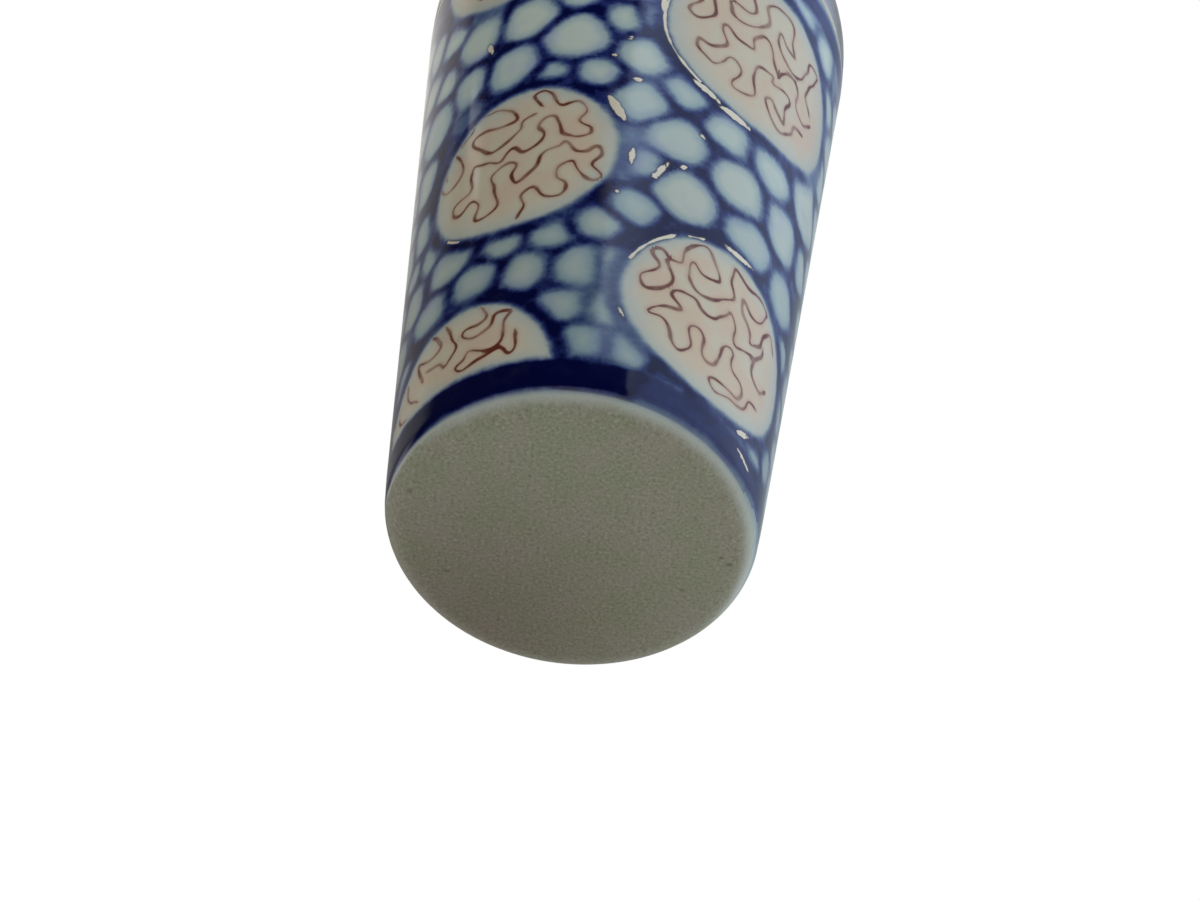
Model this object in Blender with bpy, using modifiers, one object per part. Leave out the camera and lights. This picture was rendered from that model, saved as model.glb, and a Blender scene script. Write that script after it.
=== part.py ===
"""Porcelain perfume bottle: a hollow turned body, a silver shoulder mount and a lift-off cap.

Metres, +Z up. The origin is the centre of the flat base, on the surface that the bottle stands on.
Every piece is turned round the Z axis, so each one is a profile of radius and height.
"""
import math

import bpy

# Porcelain body
BASE_RADIUS = 0.0120            # outside of the wall at the top of the rounded foot edge
FOOT_ROUNDING = 0.0020          # radius of the soft edge between base and wall
SHOULDER_RADIUS = 0.01506       # outside of the wall where the shoulder starts
SHOULDER_HEIGHT = 0.0513        # height at which the wall gives way to the shoulder
WALL_THICKNESS = 0.0022
FLOOR_THICKNESS = 0.0030
FLOOR_ROUNDING = 0.0025         # inside corner between floor and wall
SEAT_THICKENING = 0.0020        # height over which the inside closes in below the mount's seat
BORE_RADIUS = 0.0031            # clear way through the neck
NECK_WALL = 0.0018
LIP_RISE = 0.0010               # porcelain that stands above the mount's collar

# Shape of the shoulder, from the wall to the foot of the neck
SHOULDER_RISE = 0.0172
SHOULDER_FULLNESS = 0.68        # how long the curve keeps to the wall's line, as a share of the rise
NECK_SWEEP = 0.42               # how long it keeps to the neck's line, as a share of the rise

# Silver shoulder mount
MOUNT_THICKNESS = 0.0007
SEAT_RING_HEIGHT = 0.0015       # ring at the foot of the neck, under the cap's rim
SEAT_RING_ROUNDING = 0.0006
COLLAR_RISE = 0.0025            # plain collar above the seat ring

# Silver cap
CAP_WALL = 0.0008
CAP_SIDE_HEIGHT = 0.0065        # straight side, from the rim to the foot of the dome
CAP_DOME_RISE = 0.0055
CAP_RIM_HEIGHT = 0.0014         # proud band round the cap's mouth
CAP_RIM_PROUD = 0.0005
FINIAL_RADIUS = 0.0018          # ball on top of the dome
FINIAL_STALK_RADIUS = 0.0011
FINIAL_STALK_LENGTH = 0.0003

# Clearances
CEMENT_GAP = 0.0003             # between the porcelain and the mount all over
CAP_CLEARANCE = 0.0003          # between the cap and the collar, and under the cap's rim

# Fineness of the turned shapes
STEPS_AROUND = 48
SHOULDER_POINTS = 9
ROUNDING_POINTS = 4
FOOT_POINTS = 5
LIP_POINTS = 6
RING_POINTS = 2
DOME_POINTS = 6
FINIAL_POINTS = 6

# Sizes that follow from those above
MOUNT_STAND_OFF = MOUNT_THICKNESS + CEMENT_GAP
PORCELAIN_NECK_RADIUS = BORE_RADIUS + NECK_WALL
COLLAR_RADIUS = PORCELAIN_NECK_RADIUS + MOUNT_STAND_OFF
NECK_HEIGHT = SHOULDER_HEIGHT + SHOULDER_RISE
SEAT_HEIGHT = NECK_HEIGHT + SEAT_RING_HEIGHT
COLLAR_TOP = SEAT_HEIGHT + COLLAR_RISE
LIP_HEIGHT = COLLAR_TOP + LIP_RISE
CAP_MOUTH_HEIGHT = SEAT_HEIGHT + CAP_CLEARANCE
CAP_BORE_RADIUS = COLLAR_RADIUS + CAP_CLEARANCE
CAP_RADIUS = CAP_BORE_RADIUS + CAP_WALL
CAP_RIM_RADIUS = CAP_RADIUS + CAP_RIM_PROUD
WALL_TAPER = (SHOULDER_RADIUS - BASE_RADIUS) / (SHOULDER_HEIGHT - FOOT_ROUNDING)


def wall_radius(height):
    """Outside radius of the straight, tapering wall at a height."""
    return BASE_RADIUS + WALL_TAPER * (height - FOOT_ROUNDING)


def arc(centre, radii, start_deg, end_deg, count):
    """Points on an elliptical arc, both ends included."""
    points = []
    for i in range(count + 1):
        angle = math.radians(start_deg + (end_deg - start_deg) * i / count)
        points.append((centre[0] + radii[0] * math.cos(angle), centre[1] + radii[1] * math.sin(angle)))
    return points


def shoulder_curve(wall_inset, neck_inset):
    """The shoulder from wall to neck, moved inwards square to the curve.

    The distance moved changes evenly from wall_inset at the wall to neck_inset at the neck.
    """
    lead = SHOULDER_FULLNESS * SHOULDER_RISE
    sweep = NECK_SWEEP * SHOULDER_RISE
    start = (SHOULDER_RADIUS, SHOULDER_HEIGHT)
    after_start = (SHOULDER_RADIUS + WALL_TAPER * lead, SHOULDER_HEIGHT + lead)
    before_end = (COLLAR_RADIUS, NECK_HEIGHT - sweep)
    end = (COLLAR_RADIUS, NECK_HEIGHT)
    points = []
    for i in range(SHOULDER_POINTS + 1):
        t = i / SHOULDER_POINTS
        weights = ((1 - t) ** 3, 3 * t * (1 - t) ** 2, 3 * t ** 2 * (1 - t), t ** 3)
        slopes = (-3 * (1 - t) ** 2, 3 * (1 - t) * (1 - 3 * t), 3 * t * (2 - 3 * t), 3 * t ** 2)
        corners = (start, after_start, before_end, end)
        radius, height = (sum(w * c[axis] for w, c in zip(weights, corners)) for axis in (0, 1))
        along_r, along_z = (sum(s * c[axis] for s, c in zip(slopes, corners)) for axis in (0, 1))
        inset = wall_inset + (neck_inset - wall_inset) * t
        length = math.hypot(along_r, along_z)
        points.append((radius - inset * along_z / length, height + inset * along_r / length))
    return points


def body_profile():
    """Section of the porcelain: up the inside, over the lip and down the outside to the base."""
    cavity_floor_radius = wall_radius(FLOOR_THICKNESS + FLOOR_ROUNDING) - WALL_THICKNESS
    ledge_height = SHOULDER_HEIGHT - CEMENT_GAP
    thickening_height = ledge_height - SEAT_THICKENING
    inside = [(0, FLOOR_THICKNESS)]
    inside += arc((cavity_floor_radius - FLOOR_ROUNDING, FLOOR_THICKNESS + FLOOR_ROUNDING),
                  (FLOOR_ROUNDING, FLOOR_ROUNDING), -90, 0, ROUNDING_POINTS)
    inside.append((wall_radius(thickening_height) - WALL_THICKNESS, thickening_height))
    inside += shoulder_curve(MOUNT_STAND_OFF + WALL_THICKNESS, MOUNT_STAND_OFF + NECK_WALL)
    lip_radius = NECK_WALL / 2
    lip = arc((BORE_RADIUS + lip_radius, LIP_HEIGHT - lip_radius),
              (lip_radius, lip_radius), 180, 0, LIP_POINTS)
    outside = shoulder_curve(MOUNT_STAND_OFF, MOUNT_STAND_OFF)[::-1]
    outside.append((wall_radius(ledge_height) - MOUNT_STAND_OFF, ledge_height))
    outside.append((wall_radius(ledge_height), ledge_height))
    outside += arc((BASE_RADIUS - FOOT_ROUNDING, FOOT_ROUNDING),
                   (FOOT_ROUNDING, FOOT_ROUNDING), 0, -90, FOOT_POINTS)
    outside.append((0, 0))
    return inside + lip + outside


def mount_profile():
    """Closed section of the silver mount: down the outside, then up the inside."""
    ring_edge = (SEAT_RING_ROUNDING, SEAT_RING_ROUNDING)
    ring_edge_radius = CAP_RIM_RADIUS - SEAT_RING_ROUNDING
    collar = [(COLLAR_RADIUS - MOUNT_THICKNESS, COLLAR_TOP), (COLLAR_RADIUS, COLLAR_TOP)]
    seat_ring = [(COLLAR_RADIUS, SEAT_HEIGHT)]
    seat_ring += arc((ring_edge_radius, SEAT_HEIGHT - SEAT_RING_ROUNDING), ring_edge, 90, 0, RING_POINTS)
    seat_ring += arc((ring_edge_radius, NECK_HEIGHT + SEAT_RING_ROUNDING), ring_edge, 0, -90, RING_POINTS)
    outside = shoulder_curve(0, 0)[::-1]
    inside = shoulder_curve(MOUNT_THICKNESS, MOUNT_THICKNESS)
    return collar + seat_ring + outside + inside


def cap_profile():
    """Section of the silver cap: over the finial and the dome, down to the rim and up the inside."""
    side_top = CAP_MOUTH_HEIGHT + CAP_SIDE_HEIGHT
    rim_top = CAP_MOUTH_HEIGHT + CAP_RIM_HEIGHT
    dome_start_deg = math.degrees(math.acos(FINIAL_STALK_RADIUS / CAP_RADIUS))
    stalk_foot = side_top + CAP_DOME_RISE * math.sin(math.radians(dome_start_deg))
    ball_end_deg = -math.degrees(math.acos(FINIAL_STALK_RADIUS / FINIAL_RADIUS))
    ball_drop = FINIAL_RADIUS * math.sin(math.radians(ball_end_deg))
    ball_centre = (0, stalk_foot + FINIAL_STALK_LENGTH - ball_drop)
    outside = arc(ball_centre, (FINIAL_RADIUS, FINIAL_RADIUS), 90, ball_end_deg, FINIAL_POINTS)
    outside += arc((0, side_top), (CAP_RADIUS, CAP_DOME_RISE), dome_start_deg, 0, DOME_POINTS)
    rim = arc((CAP_RADIUS, rim_top - CAP_RIM_PROUD), (CAP_RIM_PROUD, CAP_RIM_PROUD), 90, 0, RING_POINTS)
    rim += [(CAP_RIM_RADIUS, CAP_MOUTH_HEIGHT), (CAP_BORE_RADIUS, CAP_MOUTH_HEIGHT)]
    inside = arc((0, side_top), (CAP_BORE_RADIUS, CAP_DOME_RISE - CAP_WALL), 0, 90, DOME_POINTS)
    return outside + rim + inside


def porcelain_material():
    """Glazed porcelain in the mean colour of the blue-painted wall."""
    return plain_material("glazed_porcelain", (0.27, 0.32, 0.38, 1), 0.12, 0.0)


def silver_material():
    """Polished silver with a slight tarnish."""
    return plain_material("polished_silver", (0.62, 0.61, 0.58, 1), 0.18, 1.0)


def plain_material(name, colour, roughness, metallic):
    """A Principled material with one colour."""
    material = bpy.data.materials.new(name)
    material.use_nodes = True
    material.diffuse_color = colour
    shader = material.node_tree.nodes["Principled BSDF"]
    shader.inputs["Base Color"].default_value = colour
    shader.inputs["Roughness"].default_value = roughness
    shader.inputs["Metallic"].default_value = metallic
    return material


def turned_piece(name, profile, closed, material, collection):
    """Turn a profile of (radius, height) points round the Z axis."""
    count = len(profile)
    edges = [(i, i + 1) for i in range(count - 1)]
    if closed:
        edges.append((count - 1, 0))
    mesh = bpy.data.meshes.new(name)
    mesh.from_pydata([(radius, 0, height) for radius, height in profile], edges, [])
    mesh.materials.append(material)
    piece = bpy.data.objects.new(name, mesh)
    collection.objects.link(piece)
    screw = piece.modifiers.new("turn", "SCREW")
    screw.axis = "Z"
    screw.angle = math.radians(360)
    screw.steps = STEPS_AROUND
    screw.render_steps = STEPS_AROUND
    screw.use_merge_vertices = True
    screw.merge_threshold = 0.00001
    screw.use_smooth_shade = True
    return piece


def build_bottle():
    """Make the three pieces in a collection of their own."""
    for old in list(bpy.data.objects):
        bpy.data.objects.remove(old, do_unlink=True)
    collection = bpy.data.collections.new("porcelain_perfume_bottle")
    bpy.context.scene.collection.children.link(collection)
    porcelain = porcelain_material()
    silver = silver_material()
    turned_piece("body", body_profile(), False, porcelain, collection)
    turned_piece("shoulder_mount", mount_profile(), True, silver, collection)
    turned_piece("cap", cap_profile(), False, silver, collection)


build_bottle()
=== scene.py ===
"""Looks of the porcelain perfume bottle: painted and gilded porcelain, silver mount and cap, and studio.

Lengths are in millimetres, and MM turns them into Blender's metres. Angles round the bottle are in
degrees from the photographed side (-Y), growing towards +X.
"""
import math

import bpy
import numpy as np
from mathutils import Matrix


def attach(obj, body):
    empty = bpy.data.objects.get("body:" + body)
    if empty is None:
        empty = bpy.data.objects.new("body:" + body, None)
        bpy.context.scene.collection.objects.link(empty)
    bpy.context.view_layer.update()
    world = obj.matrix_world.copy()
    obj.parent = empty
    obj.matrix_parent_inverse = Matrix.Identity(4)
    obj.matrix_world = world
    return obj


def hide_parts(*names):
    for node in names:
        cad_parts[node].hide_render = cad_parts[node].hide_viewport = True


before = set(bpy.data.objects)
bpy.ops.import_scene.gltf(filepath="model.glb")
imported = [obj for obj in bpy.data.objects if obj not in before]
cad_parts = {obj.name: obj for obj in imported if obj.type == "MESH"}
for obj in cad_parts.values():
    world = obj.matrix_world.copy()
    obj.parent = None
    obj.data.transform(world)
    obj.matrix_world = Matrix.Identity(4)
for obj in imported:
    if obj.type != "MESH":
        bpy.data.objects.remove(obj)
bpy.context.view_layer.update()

MM = 0.001

# Shape of the porcelain, as the frame's node has it
BASE_RADIUS = 12.0
FOOT_ROUNDING = 2.0
SHOULDER_RADIUS = 15.06
SHOULDER_HEIGHT = 51.3
WALL_THICKNESS = 2.2
FLOOR_THICKNESS = 3.0
FLOOR_ROUNDING = 2.5
SEAT_THICKENING = 2.0
BORE_RADIUS = 3.1
NECK_WALL = 1.8
LIP_RISE = 1.0
SHOULDER_RISE = 17.2
SHOULDER_FULLNESS = 0.68
NECK_SWEEP = 0.42

# Shape of the silver mount and cap
MOUNT_THICKNESS = 0.7
MOUNT_EDGE_ROUNDING = 0.3
SEAT_RING_HEIGHT = 1.5
SEAT_RING_ROUNDING = 0.6
COLLAR_RISE = 2.5
COLLAR_CHAMFER = 0.1
CAP_WALL = 0.8
CAP_SIDE_HEIGHT = 6.5
CAP_DOME_RISE = 5.5
CAP_RIM_HEIGHT = 1.4
CAP_RIM_PROUD = 0.5
FINIAL_RADIUS = 1.8
FINIAL_STALK_RADIUS = 1.1
FINIAL_STALK_LENGTH = 0.3
CEMENT_GAP = 0.3
CAP_CLEARANCE = 0.3

# Sizes that follow
MOUNT_STAND_OFF = MOUNT_THICKNESS + CEMENT_GAP
PORCELAIN_NECK_RADIUS = BORE_RADIUS + NECK_WALL
COLLAR_RADIUS = PORCELAIN_NECK_RADIUS + MOUNT_STAND_OFF
NECK_HEIGHT = SHOULDER_HEIGHT + SHOULDER_RISE
SEAT_HEIGHT = NECK_HEIGHT + SEAT_RING_HEIGHT
COLLAR_TOP = SEAT_HEIGHT + COLLAR_RISE
LIP_HEIGHT = COLLAR_TOP + LIP_RISE
CAP_MOUTH_HEIGHT = SEAT_HEIGHT + CAP_CLEARANCE
CAP_BORE_RADIUS = COLLAR_RADIUS + CAP_CLEARANCE
CAP_RADIUS = CAP_BORE_RADIUS + CAP_WALL
CAP_RIM_RADIUS = CAP_RADIUS + CAP_RIM_PROUD
WALL_TAPER = (SHOULDER_RADIUS - BASE_RADIUS) / (SHOULDER_HEIGHT - FOOT_ROUNDING)
LEDGE_HEIGHT = SHOULDER_HEIGHT - CEMENT_GAP

# Slight turn-in of the wall above the foot, and the height where it starts
FOOT_TURN_IN = 0.04
FOOT_TURN_IN_TOP = 4.2

# Fineness of the turned meshes
BODY_COLUMNS = 384
BODY_WALL_ROWS = 192
SILVER_COLUMNS = 128
ON_AXIS = 1e-6  # smaller radii lie on the axis

# Edge of the base on the glazed side: bare inside the second radius, glazed outside the first one
RIM_RADIUS = 11.95
BARE_RADIUS = 10.5
# Angles of the glazed side: it begins, is whole, is still whole, ends. Elsewhere the wall is bare up to
# the foot band.
GLAZED_SIDE = (-80, -35, 100, 140)
BARE_EDGE = 0.3  # softness of the bare wall's upper edge
# Dark specks on the base: across, back, reach
BASE_SPECKS = ((10.25, 0.15, 0.16), (9.73, -0.35, 0.11), (10.55, -1.2, 0.11))
PAINTED_SHADE_PLACE = (-5.5, 9.5, 20.0)  # painted shade on the bare base: where it is darkest and warmest (x, y), and how far that reaches

# Painted bands round the foot and under the mount
FOOT_BAND = (1.02, 3.56)
FOOT_BAND_RISE = 1.1  # how much higher its lower edge sits round the back
FOOT_BAND_LOW_SIDE = (-125, -70, 55, 100)  # where its lower edge is low, as angles like GLAZED_SIDE's
TOP_BAND = (48.5, 50.65)
BAND_EDGE = 0.5  # softness of their full strength

# Oval medallions: angle, height, half width, half height. The first five are the photographed ones.
OVALS = (
    (-31.4, 23.7, 7.1, 6.9),
    (38.8, 11.1, 7.5, 6.9),
    (39.4, 38.8, 8.1, 7.6),
    (-46.0, 3.3, 7.2, 6.9),
    (-34.0, 49.0, 8.6, 7.2),
    (134.0, 24.2, 7.2, 6.9),
    (133.0, 3.0, 6.4, 6.8),
    (136.0, 48.8, 8.5, 7.1),
    (-130.0, 11.4, 7.4, 6.9),
    (-128.0, 38.2, 8.1, 7.6),
)
OVAL_RING = 0.95  # width of the blue ring round an oval
OVAL_WOBBLE = 0.16  # how far the hand-drawn border strays from a true ellipse
OVAL_SEED = 100
OVAL_REACH_DEG = 60  # an oval is looked for this far from its centre

# Pebbles of the photographed side, in tenths: angle, height, half width in degrees, half height
FRONT_PEBBLES = (
    (-495, 391, 73, 20), (-320, 388, 72, 22), (-170, 355, 90, 24), (-360, 339, 73, 19), (-516, 344, 56, 17),
    (-638, 375, 44, 12.5), (-675, 335, 85, 23), (-42, 373, 46, 12), (26, 336, 71, 18.5), (-97, 316, 54, 11),
    (-225, 320, 30, 6), (33, 288, 70, 19), (158, 310, 56, 13), (150, 260, 87, 19.5), (301, 289, 66, 14),
    (484, 288, 74, 15.5), (695, 309, 98, 27), (369, 247, 94, 21), (573, 249, 78, 22), (197, 208, 94, 22.5),
    (442, 206, 96, 16), (634, 195, 72, 19.5), (742, 255, 45, 15), (66, 228, 36, 11), (59, 184, 61, 14),
    (-45, 163, 56, 12), (-179, 152, 57, 10.5), (-323, 152, 57, 11), (-520, 162, 82, 20),
    (-720, 158, 62, 19), (-620, 188, 50, 13), (-702, 226, 60, 16), (-600, 125, 67, 13.5),
    (-410, 128, 68, 14), (-240, 122, 52, 17), (-84, 122, 61, 19), (-119, 83.5, 59, 14), (-52, 52, 54, 13),
    (10, 84, 22, 15), (104, 51, 43, 12), (-665, 76, 44, 12), (642, 469, 48, 14), (500, 475, 50, 7),
    (730, 432, 44, 13), (706, 159, 40, 10), (634, 42, 36, 7), (745, 59, 46, 13), (-615, 423, 52, 13.5),
    (-722, 286, 60, 17), (-175, 404, 56, 14), (-30, 412, 62, 15), (-105, 444, 56, 16), (35, 452, 54, 15),
    (-730, 86, 40, 14), (785, 370, 54, 18), (770, 116, 50, 16), (-745, 194, 40, 9), (-735, 436, 50, 17),
    (-750, 393, 52, 15), (28, 376, 20, 7), (5, 124, 28, 14),
)
FRONT_EDGE = 78.0  # the listed pebbles reach this far to either side
PEBBLE_SPACING = 4.1  # mean distance between the others
PEBBLE_SQUASH = 1.12  # pebbles are this much wider than high
PEBBLE_GAP = 0.60  # blue left between the others, on average
LINE_HALF_WIDTH = 0.18  # of the thinnest blue lines between pebbles
CORNER_SOFTNESS = 0.26  # how round the pebbles' corners are
PEBBLE_SEED = 41
PEBBLE_SAMPLES = 9000  # points of the wall that the even spacing is worked out with
PEBBLE_ROUNDS = 14  # rounds of evening out
PEBBLE_SPREAD = (0.8, 1.25)  # the others' sizes against the mean one
PEBBLE_GROWTH = 0.40  # how far a pebble may swell past its size
PEBBLE_WAVES = ((0.11, 3, 2.1), (0.07, 4, 1.3))  # uneven rim: reach, waves round it, shift
TINT_SEED = 7
FAR = 40.0  # farther than any edge
DEEP = 8.0  # as far outside an edge as still makes a difference

# Red brush strokes inside the ovals, as points across and up from an oval's centre, in tenths of a
# millimetre
LEFT_STROKES = (
    ((-39, 67), (-26, 61), (-14, 58), (-4, 49), (-2, 42), (-10, 39), (-22, 42), (-34, 44), (-38, 38),
     (-33, 29), (-25, 21), (-18, 16), (-9, 21), (1, 29), (2, 37), (11, 41)),
    ((15, 49), (11, 56), (10, 62), (16, 64), (23, 59), (28, 46), (36, 48), (42, 48), (47, 39), (43, 28),
     (51, 21), (50, 14), (41, 12), (32, 16), (29, 28), (26, 35), (19, 35), (14, 28), (20, 18), (16, 10),
     (6, 5), (-3, 12), (-12, 3), (-22, 7), (-34, 11), (-35, 1), (-35, -13), (-49, -18), (-49, -27),
     (-42, -31), (-33, -25), (-26, -32), (-27, -46), (-18, -49), (-10, -41), (-14, -23), (-17, -10),
     (-9, -3), (1, -5), (-1, -16), (3, -26), (14, -16), (21, 0), (30, 3), (36, 7), (42, -3), (49, -4),
     (57, 2), (60, -6), (54, -16), (61, -28), (54, -33), (45, -23), (41, -13), (31, -18), (32, -28),
     (38, -36), (34, -47), (23, -44), (15, -34), (8, -40), (10, -51), (7, -61)),
    ((-56, 41), (-49, 31), (-45, 20), (-48, 9), (-59, 5), (-68, 15)),
    ((-42, 62), (-40, 52), (-49, 45)),
    ((-63, 22), (-67, 31), (-70, 36)),
)
LOWER_STROKES = (
    ((-47, 34), (-53, 41), (-59, 36), (-52, 24), (-63, 11), (-59, 0), (-46, 7), (-42, 19), (-48, 32),
     (-38, 36), (-36, 51), (-24, 61), (-15, 54), (-9, 38), (-22, 35), (-30, 41), (-32, 27), (-25, 18),
     (-16, 16), (-4, 25), (5, 34), (1, 48), (3, 61), (15, 55), (27, 57), (40, 53), (33, 38), (24, 34),
     (15, 41), (14, 30), (25, 19), (27, 11), (37, 19), (41, 33), (49, 41), (55, 31)),
    ((34, 3), (23, 0), (12, -5), (10, 11), (5, 19), (-1, 11), (-8, 3), (-19, 3), (-25, 10), (-38, 8),
     (-40, 1), (-32, -6), (-47, -12), (-55, -20), (-42, -23), (-34, -40), (-28, -42), (-22, -32),
     (-25, -18), (-18, -14), (-13, -22), (-12, -36), (-2, -36), (1, -24), (5, -12), (12, -13), (13, -26),
     (25, -33), (22, -46), (6, -46), (-4, -50), (1, -57), (14, -53), (30, -48), (34, -37), (44, -33)),
    ((42, 19), (40, 11), (33, 0), (34, -12), (45, -17), (52, -8)),
)
UPPER_STROKES = (
    ((-60, 23), (-67, 10), (-59, 4), (-49, 12), (-50, 28), (-54, 38), (-46, 43), (-36, 39), (-25, 35),
     (-18, 40), (-21, 53), (-28, 61), (-36, 54)),
    ((-39, 36), (-35, 24), (-28, 21), (-13, 27), (-5, 41), (-8, 56), (5, 64), (19, 59), (19, 44), (24, 31),
     (15, 33), (7, 40), (6, 28), (20, 15), (33, 18), (40, 32), (43, 45), (56, 46), (48, 27), (43, 11),
     (52, 0)),
    ((11, -5), (18, 7), (27, 10), (33, 3), (34, -12), (45, -19), (55, -8)),
    ((11, -5), (4, 8), (-2, 21), (-9, 22), (-15, 11), (-15, 2), (-26, 1), (-39, 9), (-40, 1), (-36, -11),
     (-46, -20), (-56, -17), (-56, -26), (-42, -36), (-31, -22), (-21, -28), (-27, -47), (-18, -50),
     (-8, -42), (-11, -23), (-7, -12), (5, -9), (7, -17), (18, -12), (26, -16), (22, -31), (23, -43),
     (15, -39), (8, -32), (3, -40), (16, -55), (31, -46), (35, -34), (45, -29)),
)
FOOT_STROKES = (
    ((19, 66), (25, 54), (18, 49), (7, 48), (9, 41), (18, 38), (27, 42), (32, 53), (42, 52), (37, 42),
     (38, 28), (32, 21.5), (22, 22), (13, 27), (10, 21), (3, 16), (10, 11), (25, 16), (36, 19), (43, 12),
     (47, 20), (46, 32)),
    ((-9, 63), (-2, 48), (2, 37), (-6, 25), (-11, 30), (-23, 34)),
    ((-23, 63), (-16, 57), (-12, 47), (-24, 43), (-36, 50), (-34, 42), (-29, 28)),
    ((-49, 40), (-47, 29), (-41, 20), (-33, 13)),
    ((-59, 19), (-54, 11), (-47, 9)),
)
# Strokes of each oval in turn, and whether they are turned round by half a turn
OVAL_STROKES = (
    (LEFT_STROKES, False), (LOWER_STROKES, False), (UPPER_STROKES, False), (FOOT_STROKES, False),
    (LEFT_STROKES, True), (LOWER_STROKES, True), (FOOT_STROKES, False), (UPPER_STROKES, True),
    (UPPER_STROKES, False), (LEFT_STROKES, True),
)
STROKE_STEPS = 6  # straight steps between two points of a stroke
STROKE_MARGIN = 0.1  # strokes keep this far inside an oval's border
RED_LINE = 0.105  # half width of the brushed line
RED_LINE_SPREAD = (0.5, 1.35)  # its least and greatest width against that
STROKE_TREMBLE = 0.05  # how far the hand strays from a smooth stroke
TREMBLE_WAVES = ((1.4, 3.1), (3.6, -1.1))  # of the trembling: by way across and up, for each direction

# Places where the blue is washed out, as angle, height, radius
FADED_PLACES = (
    (-1.0, 23.4, 3.0), (0.5, 11.5, 3.0), (3.5, 8.2, 2.4), (6.5, 5.6, 2.4), (-47.0, 42.0, 2.0),
    (-52.0, 31.4, 1.6), (66.0, 36.0, 3.0), (24.0, 1.3, 2.3), (36.0, 1.3, 2.3), (48.0, 1.3, 2.3),
    (60.0, 1.3, 2.3), (72.0, 1.3, 2.3), (58.0, 49.6, 3.4), (74.0, 49.6, 3.4),
)

# Worn gilding: places where the gilt edge line of an oval survives, as angle, height, radius
GILT_PLACES = (
    (6.0, 39.0, 1.4), (9.0, 36.2, 1.6), (13.0, 34.2, 1.5), (15.5, 33.0, 1.0),
    (10.0, 15.8, 1.5), (13.5, 17.0, 1.2), (7.5, 14.2, 0.9), (-51.0, 18.4, 0.8),
    (24.0, 18.2, 1.0),
)
GILT_LINE = 0.085  # half width of the gilt edge line
GILT_OFFSET = 0.12  # its middle lies this far outside the oval
HIDDEN_GILT = (0.45, 0.4, 0.21, 0.9)  # on the hidden side: mean, swing, waves by angle and by height
# Gilt touches: two ends as angle and height, and half width at the widest
GILT_TOUCHES = (
    (-6.0, 29.1, -0.6, 26.7, 0.30), (2.8, 24.0, 2.7, 22.4, 0.20), (9.6, 21.6, 13.8, 23.6, 0.20),
    (9.2, 21.7, 11.0, 21.9, 0.24), (17.0, 23.4, 18.6, 23.7, 0.20), (21.4, 27.5, 23.0, 27.2, 0.16),
    (-3.0, 35.3, -1.4, 35.3, 0.20), (-6.4, 33.4, -5.2, 33.2, 0.14), (0.3, 31.0, 2.8, 31.0, 0.20),
    (-45.4, 37.9, -43.6, 36.6, 0.20), (5.0, 8.8, 7.4, 7.6, 0.10), (51.8, 4.0, 57.8, 4.8, 0.24),
    (53.0, 2.9, 62.0, 2.4, 0.13), (-0.3, 19.6, 0.8, 19.5, 0.16), (5.2, 40.4, 6.0, 38.6, 0.20),
    (16.5, 32.6, 25.5, 31.6, 0.24), (25.5, 31.2, 36.5, 30.9, 0.30), (34.5, 18.5, 46.5, 18.5, 0.22),
)

# Distances in the painting fields that stand for well inside and well outside
INSIDE = 3.0
OUTSIDE = -5.0

# Blue paint: strengths, and reaches in millimetres from an edge into the pale ground
LINE_EDGE = (0.42, -0.52)  # a blue line fades in between these
THINNED_MIDDLE = (-0.5, -1.2, 0.0, 0.30)  # between these reaches wide blue loses up to so much strength
BRUSH_PATCHES = (0.30, 0.66, 0.48, 1.0)  # two values of patchy noise, and the strengths they stand for
WASH_REACH = 1.15
WASH_STRENGTH = 0.20
WASH_IN_OVALS = 0.30  # share of the wash that an oval's ground takes
FADED_STRENGTH = 0.45
BAND_STRENGTH = 0.42
OVAL_EDGE = 0.3  # softness of the oval ground's edge
GLAZE_PAINTED_SHADE = (3.0, 44.0, 0.86, 1.22)  # painted shade, darker towards the foot: two heights, and how light the glaze is at each

# Colours, as linear red, green and blue
GLAZE_COLOURS = ((0.53, 0.645, 0.60), (0.63, 0.705, 0.60))
GLAZE_GREY = (0.53, 0.58, 0.635)
OVAL_MARGIN = (0.71, 0.71, 0.58)
OVAL_CENTRES = ((0.80, 0.72, 0.53), (0.82, 0.65, 0.46))
BLUE_RAMP = (  # by density of the paint, to multiply the ground by
    (0.0, (1.0, 1.0, 1.0)),
    (0.14, (0.70, 0.79, 0.90)),
    (0.42, (0.24, 0.31, 0.56)),
    (0.74, (0.042, 0.060, 0.29)),
    (1.0, (0.002, 0.005, 0.090)),
)
RED_PAINT = (0.17, 0.034, 0.014)
RED_HALO = (0.64, 0.36, 0.24)
# pale cream of the gilding, which also stands for its glints as a painted highlight
GILT_AND_GLINT_COLOUR = (1.0, 0.90, 0.68)
# painted shade round the gilt, for gilding that catches no light
GILT_EDGE_SHADE = (0.05, 0.045, 0.05)
RIM_COLOUR = (0.55, 0.59, 0.53)
BISCUIT_COLOURS = ((0.330, 0.344, 0.230), (0.366, 0.347, 0.266))
DARK_GRAINS = (0.197, 0.197, 0.125)
LIGHT_GRAINS = (0.49, 0.50, 0.37)
BISCUIT_SPOTS = (0.143, 0.125, 0.080)
# painted shade on the bare base, where it is darkest
PAINTED_SHADE_TINT = (0.65, 0.59, 0.58)
SPECK_COLOUR = (0.085, 0.080, 0.055)
SILVER_COLOUR = (0.64, 0.60, 0.53)
TARNISH_COLOUR = (0.38, 0.32, 0.25)
FLOOR_COLOUR = (0.82, 0.82, 0.81)
WHITE = (1.0, 1.0, 1.0)

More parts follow.
